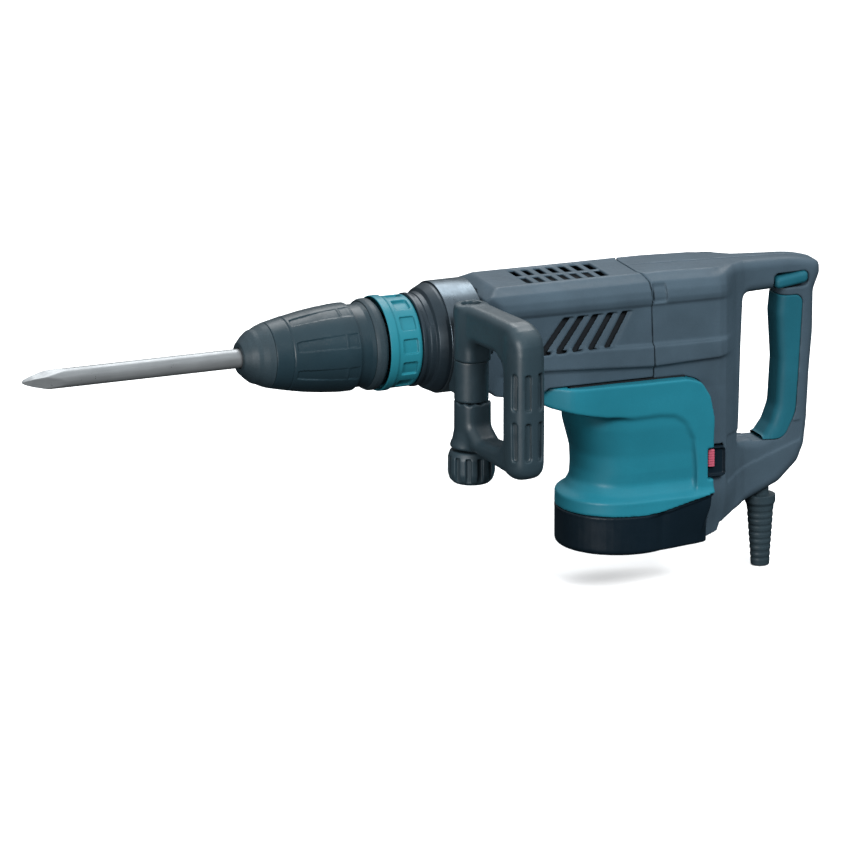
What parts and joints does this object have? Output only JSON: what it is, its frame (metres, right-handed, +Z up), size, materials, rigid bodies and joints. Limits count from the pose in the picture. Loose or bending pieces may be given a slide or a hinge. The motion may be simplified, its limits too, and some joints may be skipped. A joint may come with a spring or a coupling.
{
  "type": "electric demolition hammer",
  "caption": "L-shaped electric demolition hammer with a bull-point chisel in a sliding-sleeve chuck, swinging side handle, vertical motor and rear D-handle.",
  "frame": {"origin": "centre of the flat underside of the motor's end cover, on the motor's axis", "axes": "+Z up the motor axis; -X along the hammer axis towards the chisel point, +X towards the rear D-handle; -Y is the side with the side handle"},
  "size_m": [0.7945, 0.2378, 0.3062],
  "materials": {
    "dark_casing": "fine textured moulded",
    "teal_casing": "satin moulded",
    "black_rubber": "matte",
    "teal_rubber": "soft matte",
    "bright_steel": "ground",
    "dark_steel": "gunmetal, semi-gloss",
    "dark_alloy": "dark painted casting, semi-gloss",
    "cast_aluminium": "as cast",
    "copper": "turned copper",
    "laminated_iron": "laminated",
    "carbon": "pressed carbon",
    "bronze": "cast",
    "red_lens": "clear red"
  },
  "bodies": {
    "hammer_body": {"front_cover": "dark_casing", "motor_end_cover": "dark_casing", "rear_housing_left": "dark_casing", "rear_housing_right": "dark_casing", "lamp_holder": "dark_casing", "brush_holder_left": "dark_casing", "brush_holder_right": "dark_casing", "switch_module": "dark_casing", "controller": "dark_casing", "cord_clamp": "dark_casing", "motor_housing": "teal_casing", "cord_guard": "black_rubber", "handle_grip": "teal_rubber", "cylinder": "bright_steel", "holder_bearing": "bright_steel", "crank_bearing": "bright_steel", "upper_bearing": "bright_steel", "lower_bearing": "bright_steel", "end_cover_screw_1": "bright_steel", "end_cover_screw_2": "bright_steel", "end_cover_screw_3": "bright_steel", "end_cover_screw_4": "bright_steel", "barrel": "dark_alloy", "crankcase": "cast_aluminium", "bearing_plate": "cast_aluminium", "stator": "laminated_iron", "carbon_brush_left": "carbon", "carbon_brush_right": "carbon", "indicator_lens": "red_lens"},
    "tool_holder": {"tool_holder": "bright_steel", "nose_cap": "black_rubber", "neck_sleeve": "dark_casing", "neck_bead": "black_rubber", "release_spring": "bright_steel"},
    "change_ring": {"change_ring": "teal_casing"},
    "release_cover": {"release_cover": "dark_casing", "locking_collar": "bright_steel"},
    "upper_segment": {"lock_segment_upper": "bright_steel"},
    "lower_segment": {"lock_segment_lower": "bright_steel"},
    "chisel": {"chisel": "bright_steel"},
    "impact_bolt": {"impact_bolt": "bright_steel"},
    "striker": {"striker": "bright_steel"},
    "piston": {"piston": "bright_steel", "piston_pin": "bright_steel"},
    "connecting_rod": {"connecting_rod": "bronze"},
    "crank": {"crank_shaft": "bright_steel", "crank_gear": "bright_steel"},
    "armature": {"armature_shaft": "bright_steel", "armature_core": "laminated_iron", "commutator": "copper", "cooling_fan": "dark_casing"},
    "handle_clamp": {"clamp_band": "dark_steel", "clamp_bolt": "dark_steel"},
    "side_handle": {"side_handle": "dark_casing"},
    "clamp_nut": {"clamp_nut": "dark_casing"},
    "switch_lever": {"switch_lever": "teal_rubber"}
  },
  "joints": [
    {"name": "holder_turn", "type": "hinge", "parent": "hammer_body", "child": "tool_holder", "pos_m": [-0.3, 0, 0.215], "axis": [1, 0, 0], "continuous": true},
    {"name": "ring_shift", "type": "slide", "parent": "tool_holder", "child": "change_ring", "axis": [-1, 0, 0], "range_m": [0, 0.006]},
    {"name": "cover_slide", "type": "slide", "parent": "tool_holder", "child": "release_cover", "axis": [1, 0, 0], "range_m": [0, 0.012], "stiffness_N_per_m": 500, "springref_m": -0.01},
    {"name": "upper_segment_lift", "type": "slide", "parent": "tool_holder", "child": "upper_segment", "axis": [0, 0, 1], "range_m": [0, 0.003]},
    {"name": "lower_segment_lift", "type": "slide", "parent": "tool_holder", "child": "lower_segment", "axis": [0, 0, -1], "range_m": [0, 0.003]},
    {"name": "chisel_play", "type": "slide", "parent": "tool_holder", "child": "chisel", "axis": [-1, 0, 0], "range_m": [0, 0.012]},
    {"name": "bolt_play", "type": "slide", "parent": "tool_holder", "child": "impact_bolt", "axis": [-1, 0, 0], "range_m": [0, 0.003]},
    {"name": "striker_stroke", "type": "slide", "parent": "hammer_body", "child": "striker", "axis": [-1, 0, 0], "range_m": [0, 0.014]},
    {"name": "piston_stroke", "type": "slide", "parent": "hammer_body", "child": "piston", "axis": [-1, 0, 0], "range_m": [0, 0.03]},
    {"name": "rod_swing", "type": "hinge", "parent": "piston", "child": "connecting_rod", "pos_m": [-0.103, 0, 0.215], "axis": [0, 0, 1], "range_deg": [-10, 10]},
    {"name": "motor_turn", "type": "hinge", "parent": "hammer_body", "child": "armature", "pos_m": [0, 0, 0.1], "axis": [0, 0, 1], "continuous": true},
    {"name": "crank_turn", "type": "hinge", "parent": "hammer_body", "child": "crank", "pos_m": [-0.043, 0, 0.17], "axis": [0, 0, 1], "continuous": true},
    {"name": "handle_swing", "type": "hinge", "parent": "hammer_body", "child": "handle_clamp", "pos_m": [-0.17, 0, 0.215], "axis": [1, 0, 0], "continuous": true},
    {"name": "handle_pivot", "type": "hinge", "parent": "handle_clamp", "child": "side_handle", "pos_m": [-0.1765, -0.071, 0.19], "axis": [0, 0, 1], "range_deg": [-65, 40]},
    {"name": "nut_turn", "type": "hinge", "parent": "handle_clamp", "child": "clamp_nut", "pos_m": [-0.1765, -0.071, 0.11], "axis": [0, 0, 1], "continuous": true},
    {"name": "switch_slide", "type": "slide", "parent": "hammer_body", "child": "switch_lever", "axis": [0, 1, 0], "range_m": [0, 0.004]}
  ],
  "couplings": [
    {"joint": "upper_segment_lift", "follows": "cover_slide", "ratio": 0.25},
    {"joint": "lower_segment_lift", "follows": "cover_slide", "ratio": 0.25},
    {"joint": "crank_turn", "follows": "motor_turn", "ratio": -0.22222}
  ]
}
